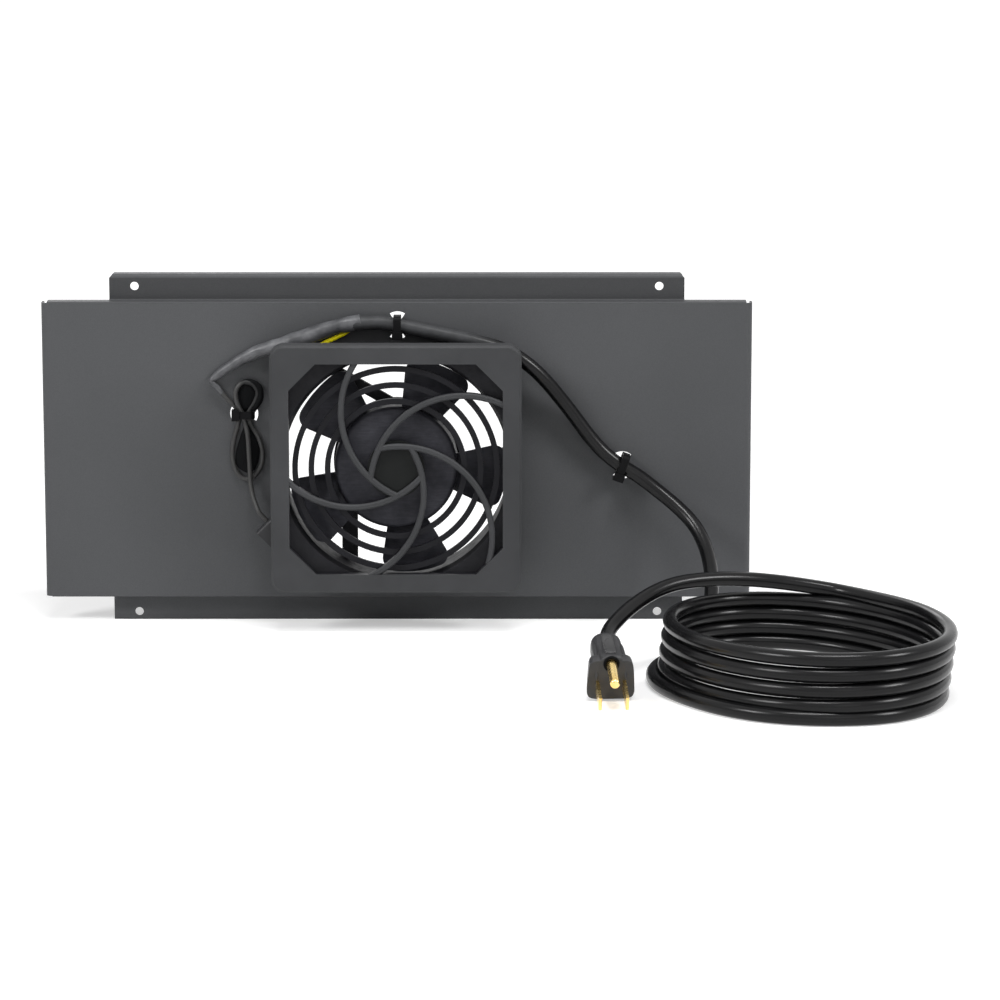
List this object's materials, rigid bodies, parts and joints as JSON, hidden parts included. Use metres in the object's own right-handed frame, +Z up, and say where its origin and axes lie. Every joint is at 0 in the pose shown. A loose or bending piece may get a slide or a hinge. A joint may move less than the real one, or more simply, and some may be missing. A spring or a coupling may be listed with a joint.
{
  "type": "rack fan tray",
  "caption": "Folded steel rack panel with one axial fan behind a round-ring finger guard, with a fan lead, cable ties and a coiled mains cord ending in a grounded plug",
  "frame": {"origin": "centre of the panel and fan in plan, at the level the panel stands on", "axes": "+X along the panel's long side, to the right seen from the guard side; +Y from the guard towards the rear of the panel; +Z up"},
  "size_m": [0.4473, 0.2416, 0.1778],
  "materials": {
    "panel_paint": "fine satin black powder coat over folded steel sheet",
    "fan_frame": "die-cast frame with a black sprayed coat",
    "fan_blade_plastic": "black glass-filled moulding, slightly grained",
    "guard_plastic": "black satin moulding",
    "sintered_bronze": "porous oiled bearing bronze",
    "lamination_steel": "stacked sheet laminations, varnished",
    "winding": "varnished copper wire wound in bundles",
    "rotor_steel": "drawn steel cup",
    "bright_steel": "ground and polished",
    "zinc_steel": "bright zinc plate",
    "black_nylon": "moulded nylon with a soft sheen",
    "lead_jacket": "thin glossy black insulation",
    "sleeve_grey": "wrinkled shrunk sleeving, dark grey",
    "earth_yellow": "bright yellow insulation",
    "tie_nylon": "smooth black nylon strap",
    "cord_jacket": "glossy black round jacket",
    "plug_moulding": "satin black over-moulding",
    "plug_brass": "bright stamped brass"
  },
  "bodies": {
    "panel": {"tray_panel": "panel_paint", "fan_housing": "fan_frame", "motor_bearings": "sintered_bronze", "stator_core": "lamination_steel", "stator_coils": "winding", "fan_guard": "guard_plastic", "fan_screws": "zinc_steel", "fan_nuts": "zinc_steel", "lock_washers": "zinc_steel", "terminal_block": "black_nylon", "fan_terminals": "plug_brass", "lead_plug": "black_nylon", "fan_lead": "lead_jacket", "splice_sleeve": "sleeve_grey", "earth_lead": "earth_yellow", "earth_terminal": "zinc_steel", "tie_top": "tie_nylon", "tie_left": "tie_nylon", "tie_right": "tie_nylon", "power_cord": "cord_jacket", "cord_coil": "cord_jacket", "plug_cord": "cord_jacket", "plug_body": "plug_moulding", "plug_blades": "plug_brass", "plug_ground_pin": "plug_brass"},
    "rotor": {"impeller": "fan_blade_plastic", "rotor_cup": "rotor_steel", "rotor_shaft": "bright_steel", "shaft_clip": "bright_steel"}
  },
  "joints": [
    {"name": "fan_spin", "type": "hinge", "parent": "panel", "child": "rotor", "pos_m": [0, -0.004, 0.0843], "axis": [0, -1, 0], "continuous": true}
  ]
}
